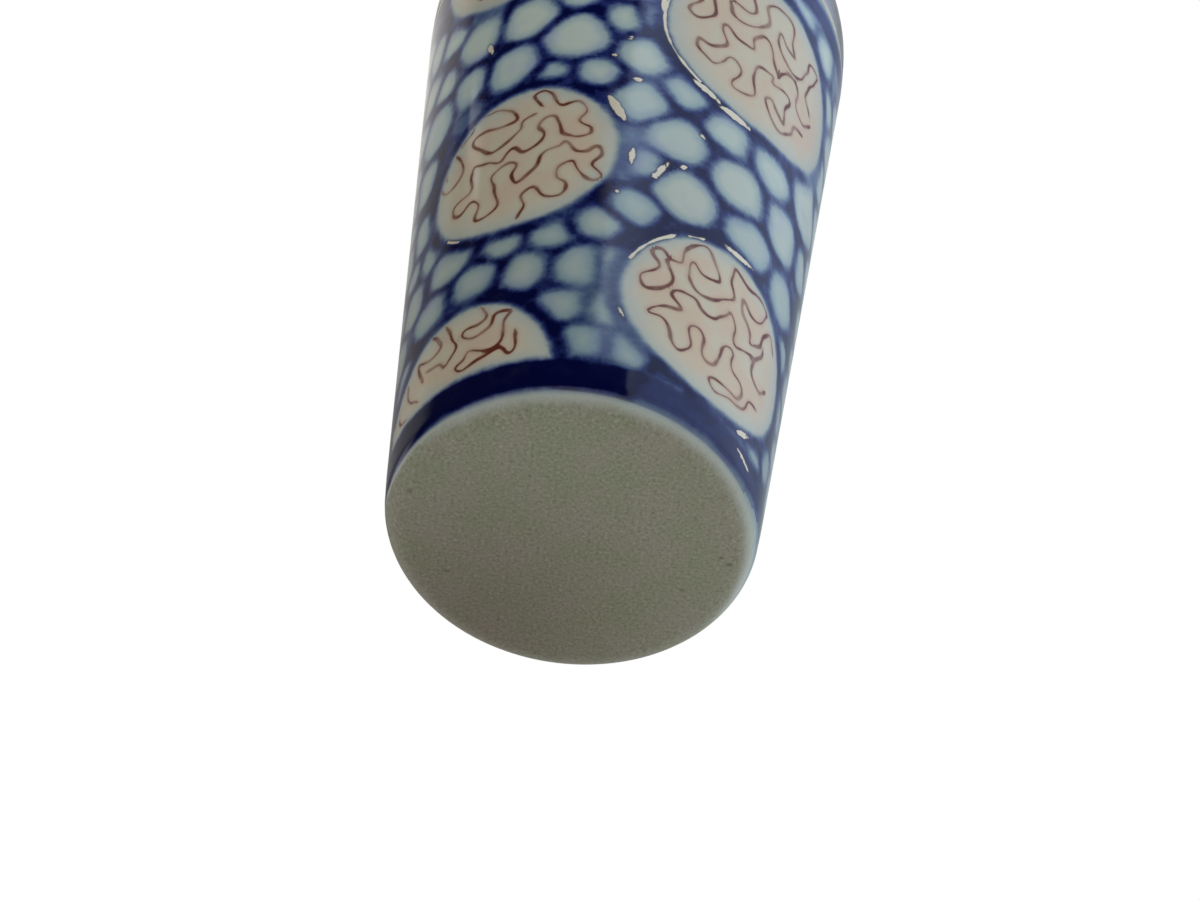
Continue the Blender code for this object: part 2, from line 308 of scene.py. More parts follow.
# Parts of the UV map: start and extent of the upper and the lower one, middle and half width of the base
UV_UPPER = (0.36, 0.63)
UV_LOWER = (0.01, 0.33)
UV_BASE = (0.17, 0.16)


def smoothstep(low, high, value):
    """0 below low, 1 above high, smooth between."""
    share = np.clip((value - low) / (high - low), 0, 1)
    return share * share * (3 - 2 * share)


def wall_radius(height):
    """Outside radius of the straight, tapering wall at a height."""
    return BASE_RADIUS + WALL_TAPER * (height - FOOT_ROUNDING)


def side_share(angle, side):
    """1 on a side of the wall, 0 off it, where the side begins, is whole, is still whole and ends."""
    begins, whole, still_whole, ends = side
    return smoothstep(begins, whole, angle) * smoothstep(ends, still_whole, angle)


def foot_band_edge(angle):
    """Height of the foot band's lower edge, which rises round the back."""
    return FOOT_BAND[0] + FOOT_BAND_RISE * (1 - side_share(angle, FOOT_BAND_LOW_SIDE))


def painted_radius(height):
    """Outside radius of the painted wall, which turns in a hair's breadth above the foot."""
    share = np.clip((FOOT_TURN_IN_TOP - height) / (FOOT_TURN_IN_TOP - FOOT_ROUNDING), 0, 1)
    return wall_radius(height) - FOOT_TURN_IN * share ** 2


def arc(centre, radius, start_deg, end_deg, count, rise=None):
    """Points on an arc, both ends included. It is elliptical where its rise is given too."""
    angles = np.radians(np.linspace(start_deg, end_deg, count + 1))
    rise = radius if rise is None else rise
    return [(centre[0] + radius * math.cos(t), centre[1] + rise * math.sin(t)) for t in angles]


def shoulder_curve(wall_inset, neck_inset, count):
    """The shoulder from wall to neck, moved inwards square to the curve by a changing inset."""
    lead = SHOULDER_FULLNESS * SHOULDER_RISE
    corners = np.array([
        (SHOULDER_RADIUS, SHOULDER_HEIGHT),
        (SHOULDER_RADIUS + WALL_TAPER * lead, SHOULDER_HEIGHT + lead),
        (COLLAR_RADIUS, NECK_HEIGHT - NECK_SWEEP * SHOULDER_RISE),
        (COLLAR_RADIUS, NECK_HEIGHT),
    ])
    t = np.linspace(0, 1, count + 1)
    weights = np.stack([(1 - t) ** 3, 3 * t * (1 - t) ** 2, 3 * t ** 2 * (1 - t), t ** 3], 1)
    slopes = np.stack([-3 * (1 - t) ** 2, 3 * (1 - t) * (1 - 3 * t), 3 * t * (2 - 3 * t), 3 * t ** 2], 1)
    points = weights @ corners
    along = slopes @ corners
    along /= np.hypot(along[:, 0], along[:, 1])[:, None]
    inset = wall_inset + (neck_inset - wall_inset) * t
    moved = np.stack([points[:, 0] - inset * along[:, 1], points[:, 1] + inset * along[:, 0]], 1)
    return [tuple(p) for p in moved]


def body_profile():
    """Section of the porcelain as (radius, height) points, and the rows that are the painted wall."""
    floor_corner = wall_radius(FLOOR_THICKNESS + FLOOR_ROUNDING) - WALL_THICKNESS - FLOOR_ROUNDING
    thickening_height = LEDGE_HEIGHT - SEAT_THICKENING
    inside = [(0, FLOOR_THICKNESS)]
    inside += arc((floor_corner, FLOOR_THICKNESS + FLOOR_ROUNDING), FLOOR_ROUNDING, -90, 0, 4)
    inside.append((wall_radius(thickening_height) - WALL_THICKNESS, thickening_height))
    inside += shoulder_curve(MOUNT_STAND_OFF + WALL_THICKNESS, MOUNT_STAND_OFF + NECK_WALL, 9)
    lip_radius = NECK_WALL / 2
    lip = arc((BORE_RADIUS + lip_radius, LIP_HEIGHT - lip_radius), lip_radius, 180, 0, 8)
    shoulder = shoulder_curve(MOUNT_STAND_OFF, MOUNT_STAND_OFF, 9)[::-1]
    shoulder.append((wall_radius(LEDGE_HEIGHT) - MOUNT_STAND_OFF, LEDGE_HEIGHT))
    heights = np.linspace(LEDGE_HEIGHT, FOOT_ROUNDING, BODY_WALL_ROWS + 1)[:-1]
    wall = [(painted_radius(z), z) for z in heights]
    foot = arc((BASE_RADIUS - FOOT_ROUNDING, FOOT_ROUNDING), FOOT_ROUNDING - FOOT_TURN_IN, -5, -90, 12,
               rise=FOOT_ROUNDING)
    base = [(share * (BASE_RADIUS - FOOT_ROUNDING), 0) for share in (0.75, 0.5, 0.25, 0)]
    first_wall_row = len(inside) + len(lip) + len(shoulder)
    profile = inside + lip + shoulder + wall + foot + base
    return profile, first_wall_row, first_wall_row + len(wall) + len(foot) - 1


def turned_mesh(name, profile, columns, closed):
    """A mesh turned round Z from a profile that runs down its outer side. Returns mesh and vertex grid."""
    verts, rings = [], []
    angles = 2 * math.pi * np.arange(columns) / columns
    for radius, height in profile:
        start = len(verts)
        if radius < ON_AXIS:
            verts.append((0, 0, height))
            rings.append([start] * columns)
        else:
            verts += [(radius * math.sin(a), -radius * math.cos(a), height) for a in angles]
            rings.append(list(range(start, start + columns)))
    faces = []
    pairs = list(zip(rings[:-1], rings[1:]))
    if closed:
        pairs.append((rings[-1], rings[0]))
    for upper, lower in pairs:
        for i in range(columns):
            j = (i + 1) % columns
            corners = [upper[i], lower[i], lower[j], upper[j]]
            faces.append([v for k, v in enumerate(corners) if v != corners[k - 1]])
    mesh = bpy.data.meshes.new(name)
    mesh.from_pydata([(x * MM, y * MM, z * MM) for x, y, z in verts], [], faces)
    mesh.shade_smooth()
    return mesh


def add_object(name, data):
    """A new object of the scene."""
    thing = bpy.data.objects.new(name, data)
    bpy.context.collection.objects.link(thing)
    return thing


def place(name, mesh, material, node, slot):
    """Put a mesh in the scene as the piece that stands for a CAD node."""
    piece = add_object(name, mesh)
    mesh.materials.append(material)
    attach(piece, "root")
    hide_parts(node)
    return piece


def wrapped(degrees):
    """Angle difference brought between -180 and 180 degrees."""
    return (degrees + 180) % 360 - 180


def ellipse_inside(across, up, half_width, half_height):
    """Distance inside an ellipse, negative outside, and the turn of each point round its centre."""
    share = np.hypot(across / half_width, up / half_height) + 1e-6
    slope = np.hypot(across / half_width ** 2, up / half_height ** 2) + 1e-6
    return (1 - share) * share / slope, np.arctan2(up, across)


def oval_inside(angle, height, radius, oval, seed):
    """Distance inside the hand-drawn border of an oval, negative outside."""
    centre, middle, half_width, half_height = oval
    across = np.radians(wrapped(angle - centre)) * radius
    inside, turn = ellipse_inside(across, height - middle, half_width, half_height)
    rng = np.random.default_rng(seed)
    wobble = sum(rng.uniform(-1, 1) * np.cos(k * turn + rng.uniform(0, 2 * math.pi)) / k
                 for k in (2, 3, 4, 5))
    return inside + OVAL_WOBBLE * wobble


def smooth_stroke(points):
    """A smooth curve through the points of a brush stroke (Catmull-Rom)."""
    points = np.array(points) / 10
    padded = np.concatenate([2 * points[:1] - points[1:2], points, 2 * points[-1:] - points[-2:-1]])
    t = np.linspace(0, 1, STROKE_STEPS, endpoint=False)[:, None]
    curve = []
    for before, start, end, after in zip(padded, padded[1:], padded[2:], padded[3:]):
        curve.append(start + 0.5 * t * (end - before)
                     + t ** 2 * (before - 2.5 * start + 2 * end - 0.5 * after)
                     + t ** 3 * (1.5 * start - 1.5 * end + 0.5 * after - 0.5 * before))
    curve.append(points[-1:])
    return np.concatenate(curve)


def stroke_fields(across, up, strokes, turned):
    """Signed side of, and distance to, the nearest red stroke of an oval."""
    curves = [smooth_stroke(stroke) * (-1 if turned else 1) for stroke in strokes]
    starts = np.concatenate([curve[:-1] for curve in curves])
    ends = np.concatenate([curve[1:] for curve in curves])
    tremble = [STROKE_TREMBLE * np.sin(a * across + b * up) for a, b in TREMBLE_WAVES]
    points = np.stack([across + tremble[0], up + tremble[1]], 1)
    along = ends - starts
    t = np.clip(((points[:, None] - starts) * along).sum(2) / (along ** 2).sum(1), 0, 1)
    offset = points[:, None] - starts - t[..., None] * along
    gap = np.hypot(offset[..., 0], offset[..., 1])
    nearest = gap.argmin(1)
    rows = np.arange(len(points))
    near = along[nearest]
    aside = offset[rows, nearest]
    side = np.sign(near[:, 0] * aside[:, 1] - near[:, 1] * aside[:, 0])
    return side * gap[rows, nearest], gap[rows, nearest]


def squared_gaps(angle, height, radius, seeds):
    """Squared distance from each point to each seed, with heights stretched by the pebbles' squash."""
    across = np.radians(wrapped(angle[:, None] - seeds[:, 0])) * radius[:, None]
    up = (height[:, None] - seeds[:, 1]) * PEBBLE_SQUASH
    return across ** 2 + up ** 2


def pebbles(angle, height, radius, blocked):
    """All pebbles: the listed ones, and evenly relaxed ones on the rest of the wall."""
    front = np.array(FRONT_PEBBLES) / 10
    rng = np.random.default_rng(PEBBLE_SEED)
    room = ~blocked & (np.abs(wrapped(angle)) > FRONT_EDGE)
    sites = np.stack([angle[room], height[room], radius[room]], 1)
    area = room.mean() * 2 * math.pi * radius.mean() * SHOULDER_HEIGHT
    count = int(area * PEBBLE_SQUASH / PEBBLE_SPACING ** 2)
    sites = sites[rng.choice(len(sites), min(len(sites), PEBBLE_SAMPLES), replace=False)]
    free = sites[:count, :2].copy()
    for _ in range(PEBBLE_ROUNDS):
        seeds = np.concatenate([front[:, :2], free])
        nearest = squared_gaps(*sites.T, seeds).argmin(1)
        for k in range(count):
            mine = sites[nearest == len(front) + k]
            if len(mine):
                free[k] += wrapped(mine[:, 0] - free[k, 0]).mean(), mine[:, 1].mean() - free[k, 1]
    half = (PEBBLE_SPACING - PEBBLE_GAP) / 2 * rng.uniform(*PEBBLE_SPREAD, (count, 2))
    half_width = np.degrees(half[:, 0] * PEBBLE_SQUASH / wall_radius(free[:, 1]))
    return np.concatenate([front, np.column_stack([free, half_width, half[:, 1]])])


def pebble_fields(angle, height, radius, obstacles):
    """Distance inside the pebble that holds each point, and a tint for each pebble."""
    stones = pebbles(angle, height, radius, obstacles < 1.0)
    half_width = np.radians(stones[:, 2]) * wall_radius(stones[:, 1])
    half_height = stones[:, 3]
    square = squared_gaps(angle, height, radius, stones) - half_width * half_height
    nearest = square.argmin(1)
    rows = np.arange(len(angle))
    stone_radius = wall_radius(stones[:, 1])
    between = np.sqrt(squared_gaps(stones[:, 0], stones[:, 1], stone_radius, stones)) + 1e-6
    to_border = (square - square[rows, nearest][:, None]) / (2 * between[nearest])
    to_border[rows, nearest] = FAR
    to_border = np.minimum(to_border, FAR) - LINE_HALF_WIDTH
    across = np.radians(wrapped(angle - stones[nearest, 0])) * radius
    up = height - stones[nearest, 1]
    inside, turn = ellipse_inside(across, up, half_width[nearest], half_height[nearest])
    wobble = sum(reach * np.sin(waves * turn + shift * nearest) for reach, waves, shift in PEBBLE_WAVES)
    to_rim = inside + PEBBLE_GROWTH + wobble
    total = np.exp(-to_border / CORNER_SOFTNESS).sum(1)
    total += np.exp(-np.clip(to_rim, -DEEP, FAR) / CORNER_SOFTNESS)
    total += np.exp(-np.clip(obstacles, -DEEP, FAR) / CORNER_SOFTNESS)
    inside = -CORNER_SOFTNESS * np.log(total + 1e-12)
    tint = np.random.default_rng(TINT_SEED).uniform(0, 1, len(stones))[nearest]
    return inside, tint


def gilt_touches(angle, height, radius):
    """Distance inside the pointed gilt touches, negative outside."""
    best = np.full(len(angle), OUTSIDE)
    for a0, z0, a1, z1, half_width in GILT_TOUCHES:
        start = np.stack([np.radians(wrapped(angle - a0)) * radius, height - z0], 1)
        along = np.stack([np.radians(a1 - a0) * radius, np.full(len(angle), z1 - z0)], 1)
        t = np.clip((start * along).sum(1) / (along ** 2).sum(1), 0, 1)
        gap = np.hypot(*(start - t[:, None] * along).T)
        best = np.maximum(best, half_width * np.sin(math.pi * np.clip(t, 0.06, 0.94)) ** 0.6 - gap)
    return best


def near_places(angle, height, radius, places):
    """1 near any of the places, each given as angle, height and reach, and 0 away from them all."""
    near = np.zeros(len(angle))
    for a, z, reach in places:
        distance = np.hypot(np.radians(wrapped(angle - a)) * radius, height - z)
        near = np.maximum(near, 1 - smoothstep(0.6 * reach, 1.3 * reach, distance))
    return near


def paint_fields(verts, wall):
    """All painting fields, one value for each vertex, worked out on the outer wall."""
    x, y, z = verts[wall].T
    angle = np.degrees(np.arctan2(x, -y))
    radius = np.hypot(x, y)
    oval = np.full(len(angle), -FAR)
    red_side = np.full(len(angle), INSIDE)
    red_gap = np.full(len(angle), INSIDE)
    for number, (one, (strokes, turned)) in enumerate(zip(OVALS, OVAL_STROKES)):
        inside = oval_inside(angle, z, radius, one, OVAL_SEED + number)
        inside[np.abs(wrapped(angle - one[0])) > OVAL_REACH_DEG] = -FAR
        mine = inside > STROKE_MARGIN
        across = np.radians(wrapped(angle[mine] - one[0])) * radius[mine]
        red_side[mine], red_gap[mine] = stroke_fields(across, z[mine] - one[1], strokes, turned)
        oval = np.maximum(oval, inside)
    foot_edge = foot_band_edge(angle)
    above_foot = z - FOOT_BAND[1]
    below_top = TOP_BAND[0] - z
    obstacles = np.minimum(-oval - OVAL_RING, np.minimum(above_foot, below_top))
    pebble, tint = pebble_fields(angle, z, radius, obstacles)
    paper = np.maximum(pebble, oval)
    in_foot_band = np.minimum(z - foot_edge, FOOT_BAND[1] - z)
    in_top_band = np.minimum(z - TOP_BAND[0], TOP_BAND[1] - z)
    paper = np.minimum(paper, -np.maximum(in_foot_band, in_top_band))
    outside_bands = np.minimum(above_foot, below_top)
    paper = np.where(z < foot_edge, foot_edge - z, paper)
    paper = np.where(z > TOP_BAND[1], z - TOP_BAND[1], paper)
    survives = near_places(angle, z, radius, GILT_PLACES)
    hidden = np.abs(wrapped(angle)) > FRONT_EDGE
    mean, swing, by_angle, by_height = HIDDEN_GILT
    survives = np.where(hidden, mean + swing * np.sin(by_angle * angle + by_height * z), survives)
    survives *= smoothstep(0.0, 0.6, outside_bands)
    # Each field's value away from the painted wall, and its values on it
    painting = {
        "paper": (INSIDE, paper),
        "oval": (OUTSIDE, np.minimum(oval, outside_bands + 0.4)),
        "red_side": (INSIDE, red_side),
        "red_gap": (INSIDE, np.maximum(red_gap, 0.3 - outside_bands)),
        "tint": (0.5, tint),
        "gilt": (OUTSIDE, gilt_touches(angle, z, radius)),
        "gilt_place": (0.0, survives),
        "band": (0.0, smoothstep(0.0, BAND_EDGE, np.maximum(in_foot_band, in_top_band))),
        "faded": (0.0, near_places(angle, z, radius, FADED_PLACES)),
    }
    fields = {}
    for name, (away, on_wall) in painting.items():
        fields[name] = np.full(len(verts), away)
        fields[name][wall] = on_wall
    return fields


class Nodes:
    """Short calls that add nodes to a node tree and link them."""

    def __init__(self, tree):
        self.tree = tree

    def add(self, kind, **settings):
        node = self.tree.nodes.new(kind)
        for name, value in settings.items():
            setattr(node, name, value)
        return node

    def link(self, source, target):
        """Link a socket, or set a plain value, into a target socket."""
        if isinstance(source, bpy.types.NodeSocket):
            self.tree.links.new(source, target)
        else:
            target.default_value = source

    def field(self, name):
        return self.add("ShaderNodeAttribute", attribute_name=name).outputs["Fac"]

    def place(self):
        return self.add("ShaderNodeTexCoord").outputs["Object"]

    def distance(self, x_mm, y_mm):
        """Distance in millimetres from a point of the base."""
        node = self.add("ShaderNodeVectorMath", operation="DISTANCE")
        self.link(self.place(), node.inputs[0])
        node.inputs[1].default_value = (x_mm * MM, y_mm * MM, 0)
        return self.maths("DIVIDE", node.outputs["Value"], MM)

    def height(self):
        """Height above the base in millimetres."""
        parts = self.add("ShaderNodeSeparateXYZ")
        self.link(self.place(), parts.inputs[0])
        return self.maths("DIVIDE", parts.outputs["Z"], MM)

    def maths(self, operation, a, b=0.0, clamp=False):
        node = self.add("ShaderNodeMath", operation=operation, use_clamp=clamp)
        self.link(a, node.inputs[0])
        self.link(b, node.inputs[1])
        return node.outputs[0]

    def plus(self, a, b, clamp=False):
        return self.maths("ADD", a, b, clamp)

    def minus(self, a, b):
        return self.maths("SUBTRACT", a, b)

    def times(self, a, b):
        return self.maths("MULTIPLY", a, b)

    def step(self, value, low, high, to_low=0.0, to_high=1.0):
        """Smooth change of value from low to high."""
        node = self.add("ShaderNodeMapRange", interpolation_type="SMOOTHSTEP")
        for socket, v in zip(node.inputs, (value, low, high, to_low, to_high)):
            self.link(v, socket)
        return node.outputs[0]

    def mix(self, factor, a, b, blend="MIX"):
        """Mix of two colours, each a socket or red, green and blue."""
        node = self.add("ShaderNodeMix", data_type="RGBA", blend_type=blend)
        self.link(factor, node.inputs[0])
        for colour, target in ((a, node.inputs[6]), (b, node.inputs[7])):
            self.link((*colour, 1) if isinstance(colour, tuple) else colour, target)
        return node.outputs[2]

    def bump(self, height, depth_mm, strength, shader):
        """Shallow relief in a shader's normal."""
        node = self.add("ShaderNodeBump")
        node.inputs["Distance"].default_value = depth_mm * MM
        node.inputs["Strength"].default_value = strength
        self.link(height, node.inputs["Height"])
        self.link(node.outputs[0], shader.inputs["Normal"])

    def noise(self, size_mm, detail=2.0, roughness=0.5, stretch=(1, 1, 1)):
        """Noise whose features are about size_mm across, as a value round 0.5."""
        mapping = self.add("ShaderNodeMapping")
        self.link(self.place(), mapping.inputs["Vector"])
        mapping.inputs["Scale"].default_value = [s / (size_mm * MM) for s in stretch]
        node = self.add("ShaderNodeTexNoise")
        self.tree.links.new(mapping.outputs[0], node.inputs["Vector"])
        node.inputs["Scale"].default_value = 1.0
        node.inputs["Detail"].default_value = detail
        node.inputs["Roughness"].default_value = roughness
        return node.outputs["Fac"]

    def swing(self, size_mm, amount, detail=2.0):
        """Noise between about -amount and +amount."""
        return self.times(self.minus(self.noise(size_mm, detail), 0.5), 2.0 * amount)

    def ramp(self, factor, stops):
        node = self.add("ShaderNodeValToRGB")
        elements = node.color_ramp.elements
        while len(elements) < len(stops):
            elements.new(0.5)
        for element, (position, colour) in zip(elements, stops):
            element.position = position
            element.color = (*colour, 1)
        self.link(factor, node.inputs[0])
        return node.outputs[0]


def new_material(name):
    material = bpy.data.materials.new(name)
    material.use_nodes = True
    nodes = Nodes(material.node_tree)
    return material, nodes, material.node_tree.nodes["Principled BSDF"]


def porcelain_ground(n, oval):
    """Colour of the glaze, with painted shade that darkens it towards the foot, and of the warmer ground of
    the ovals.
    """
    glaze = n.mix(n.field("tint"), *GLAZE_COLOURS)
    glaze = n.mix(n.step(n.noise(2.6), 0.45, 0.8), glaze, GLAZE_GREY)
    # Painted shade: the glaze is darker towards the foot and lighter higher up
    glaze = n.mix(1.0, glaze, n.step(n.height(), *GLAZE_PAINTED_SHADE), "MULTIPLY")
    warm = n.step(n.plus(oval, n.swing(2.0, 1.1)), 0.3, 2.2)
    centre = n.mix(n.step(n.noise(2.8), 0.35, 0.65), *OVAL_CENTRES)
    oval_ground = n.mix(warm, OVAL_MARGIN, centre)
    return n.mix(n.step(oval, -OVAL_EDGE, OVAL_EDGE), glaze, oval_ground)


def blue_paint(n, paper, oval):
    """Blue lines, bands and washes, as a colour to multiply the ground by."""
    edge = n.plus(n.plus(paper, n.swing(0.5, 0.15, 4.0)), n.swing(2.2, 0.18))
    wash = n.times(n.step(edge, WASH_REACH, 0.0), n.step(oval, -OVAL_EDGE, OVAL_EDGE, 1.0, WASH_IN_OVALS))
    patches = n.step(n.noise(2.4, 4.0, 0.6), *BRUSH_PATCHES)
    density = n.times(n.minus(n.step(edge, *LINE_EDGE), n.step(edge, *THINNED_MIDDLE)), patches)
    density = n.times(density, n.step(n.field("faded"), 0.0, 1.0, 1.0, FADED_STRENGTH))
    density = n.plus(density, n.times(wash, WASH_STRENGTH))
    density = n.plus(density, n.times(n.field("band"), BAND_STRENGTH), clamp=True)
    return n.ramp(density, BLUE_RAMP)


def red_paint(n):
    """Coverage of the red strokes, and of the thin brown halo round them."""
    beside = n.maths("ABSOLUTE", n.field("red_side"))
    to_stroke = n.maths("MAXIMUM", beside, n.minus(n.field("red_gap"), 0.12))
    brush = n.plus(to_stroke, n.swing(0.5, 0.03, 3.0))
    least, greatest = (RED_LINE * share for share in RED_LINE_SPREAD)
    width = n.step(n.noise(1.6, 1.0), 0.3, 0.7, least, greatest)
    stroke = n.step(n.minus(brush, width), 0.08, -0.05)
    stroke = n.times(stroke, n.step(n.noise(1.9, 2.0), 0.28, 0.66, 0.50, 1.0))
    return stroke, n.step(to_stroke, 0.42, 0.08, 0.0, 0.38)


def gilding(n, oval):
    """Coverage of the worn gilt, and of the dark edge round it, a painted shade for gilding that catches no
    light.
    """
    to_line = n.maths("ABSOLUTE", n.plus(oval, GILT_OFFSET))
    line = n.step(n.plus(n.minus(GILT_LINE, to_line), n.swing(1.2, 0.16)), -0.05, 0.05)
    place = n.field("gilt_place")
    line = n.times(line, n.step(n.plus(place, n.swing(0.9, 0.35, 3.0)), 0.42, 0.55))
    ragged = n.plus(n.field("gilt"), n.swing(0.45, 0.16, 4.0))
    gilt = n.maths("MAXIMUM", line, n.step(ragged, -0.04, 0.03))
    # Painted shade round the touches and along the surviving gilt lines
    gilt_shade = n.maths("MAXIMUM", n.step(ragged, -0.20, -0.04), n.times(n.step(to_line, 0.32, 0.10), place))
    return gilt, gilt_shade


def bare_porcelain(n, grain):
    """Colour of the unglazed base: blotched and grainy, with painted shade that darkens it towards one
    edge.
    """
    biscuit = n.mix(n.step(n.noise(3.6, 3.0), 0.35, 0.65), *BISCUIT_COLOURS)
    biscuit = n.mix(n.step(grain, 0.50, 0.70, 0.0, 0.62), biscuit, DARK_GRAINS)
    biscuit = n.mix(n.step(grain, 0.48, 0.30, 0.0, 0.66), biscuit, LIGHT_GRAINS)
    biscuit = n.mix(n.step(n.noise(0.9, 2.0), 0.69, 0.76, 0.0, 0.5), biscuit, BISCUIT_SPOTS)
    # Painted shade: the bare base turns darker and warmer towards one edge
    x_mm, y_mm, reach = PAINTED_SHADE_PLACE
    painted_shade = n.mix(n.step(n.distance(x_mm, y_mm), 0.0, reach), PAINTED_SHADE_TINT, WHITE)
    biscuit = n.mix(1.0, biscuit, painted_shade, "MULTIPLY")
    for x_mm, y_mm, reach in BASE_SPECKS:
        away = n.plus(n.distance(x_mm, y_mm), n.swing(0.3, 0.12, 3.0))
        biscuit = n.mix(n.step(away, 1.6 * reach, 0.4 * reach, 0.0, 0.6), biscuit, SPECK_COLOUR)
    return biscuit


def porcelain_material():
    """Painted and gilded wall, pale glazed foot edge and bare base, from the painting fields."""
    material, n, shader = new_material("painted_porcelain")
    paper, oval, bare = n.field("paper"), n.field("oval"), n.field("bare")
    painted = n.mix(1.0, porcelain_ground(n, oval), blue_paint(n, paper, oval), "MULTIPLY")
    stroke, halo = red_paint(n)
    painted = n.mix(halo, painted, RED_HALO)
    painted = n.mix(stroke, painted, RED_PAINT)
    gilt, gilt_shade = gilding(n, oval)
    # Painted shade: the dark edge round the gilt
    painted = n.mix(n.times(gilt_shade, 0.45), painted, GILT_EDGE_SHADE)
    # The gilt in pale cream, a painted highlight for its glints
    painted = n.mix(gilt, painted, GILT_AND_GLINT_COLOUR)
    grain = n.noise(0.22, 2.0, 0.7)
    painted = n.mix(n.step(bare, 0.0, 0.3), painted, RIM_COLOUR)
    unglazed = n.step(n.plus(bare, n.swing(1.5, 0.15)), 0.0, 0.9)
    n.link(n.mix(unglazed, painted, bare_porcelain(n, grain)), shader.inputs["Base Color"])

    roughness = n.plus(0.055, n.times(n.noise(1.4, 3.0), 0.05))
    for coverage, rougher in ((stroke, 0.20), (gilt, 0.16), (bare, 0.50)):
        roughness = n.plus(roughness, n.times(coverage, rougher))
    n.link(roughness, shader.inputs["Roughness"])
    n.link(n.times(gilt, 0.15), shader.inputs["Metallic"])
    relief = n.times(n.noise(1.7, 2.0), 0.5)
    for coverage, raised in ((gilt, 0.9), (stroke, 0.25), (n.times(bare, grain), 1.2)):
        relief = n.plus(relief, n.times(coverage, raised))
    n.bump(relief, 0.02, 0.6, shader)
    shader.inputs["IOR"].default_value = 1.5
    shader.inputs["Specular IOR Level"].default_value = 0.36
    return material


def silver_material():
    """Handled silver: fine turning lines, soft scratches and patches of brown tarnish."""
    material, n, shader = new_material("tarnished_silver")
    tarnish = n.step(n.noise(5.0, 4.0, 0.6), 0.42, 0.72)
    n.link(n.mix(tarnish, SILVER_COLOUR, TARNISH_COLOUR), shader.inputs["Base Color"])
    shader.inputs["Metallic"].default_value = 1.0
    scratches = n.noise(0.35, 4.0, 0.7, (1, 1, 6))
    roughness = n.plus(n.step(scratches, 0.4, 0.7, 0.17, 0.30), n.times(tarnish, 0.10))
    n.link(roughness, shader.inputs["Roughness"])
    turning = n.noise(3.0, 3.0, 0.6, (0.2, 0.2, 14))
    n.bump(n.plus(turning, n.times(scratches, 0.4)), 0.01, 0.5, shader)
    return material


def read_all(items, name, kind=np.int64, width=1):
    """One property of all vertices, loops or faces of a mesh, as an array."""
    values = np.empty(len(items) * width, dtype=kind)
    items.foreach_get(name, values)
    return values


def vertex_places(mesh):
    """Places of a mesh's vertices in millimetres, one row each."""
    return read_all(mesh.vertices, "co", np.float64, 3).reshape(-1, 3) / MM


def bake_layout(mesh, rows, first, last):
    """UV map for baking: the painted wall on the upper part, the base disc and the rest below it."""
    layer = mesh.uv_layers.new(name="OFBake")
    x, y, z = vertex_places(mesh)[read_all(mesh.loops, "vertex_index")].T
    turn = (np.arctan2(x, -y) / (2 * math.pi)) % 1
    starts = read_all(mesh.polygons, "loop_start")
    polygon = np.repeat(np.arange(len(starts)), read_all(mesh.polygons, "loop_total"))
    row = rows[polygon]
    low = np.minimum.reduceat(turn, starts)[polygon]
    high = np.maximum.reduceat(turn, starts)[polygon]
    turn = np.where((high - low > 0.5) & (turn < 0.5), turn + 1, turn) / (1 + 1 / BODY_COLUMNS)
    wall = (row >= first) & (row < last)
    base = row >= last
    u = np.where(wall, turn, UV_UPPER[0] + UV_UPPER[1] * turn)
    v = np.where(wall, UV_UPPER[0] + UV_UPPER[1] * z / LEDGE_HEIGHT,
                 UV_LOWER[0] + UV_LOWER[1] * row / first)
    u = np.where(base, UV_BASE[0] + UV_BASE[1] * x / BASE_RADIUS, u)
    v = np.where(base, UV_BASE[0] + UV_BASE[1] * y / BASE_RADIUS, v)
    layer.data.foreach_set("uv", np.stack([u, v], 1).ravel())


def build_body():
    """The porcelain vessel with its painting fields."""
    profile, first, last = body_profile()
    mesh = turned_mesh("painted_bottle", profile, BODY_COLUMNS, closed=False)
    verts = vertex_places(mesh)
    ring_sizes = [1 if radius < ON_AXIS else BODY_COLUMNS for radius, _ in profile]
    ring_row = np.repeat(np.arange(len(profile)), ring_sizes)
    wall = (ring_row >= first) & (ring_row <= last)
    fields = paint_fields(verts, wall)
    outward = np.hypot(verts[:, 0], verts[:, 1])
    angle = np.degrees(np.arctan2(verts[:, 0], -verts[:, 1]))
    below_band = foot_band_edge(angle) - verts[:, 2]
    glazed_side = side_share(angle, GLAZED_SIDE)
    bare = glazed_side * smoothstep(RIM_RADIUS, BARE_RADIUS, outward)
    bare += (1 - glazed_side) * smoothstep(0.0, BARE_EDGE, below_band)
    fields["bare"] = np.where((ring_row > first) & (below_band > 0), bare, 0.0)
    for name, values in fields.items():
        mesh.attributes.new(name, "FLOAT", "POINT").data.foreach_set("value", values.astype(np.float32))
    rows = np.repeat(np.arange(len(profile) - 1), BODY_COLUMNS)
    bake_layout(mesh, rows, first, last)
    return place("painted_bottle", mesh, porcelain_material(), "body", "porcelain")


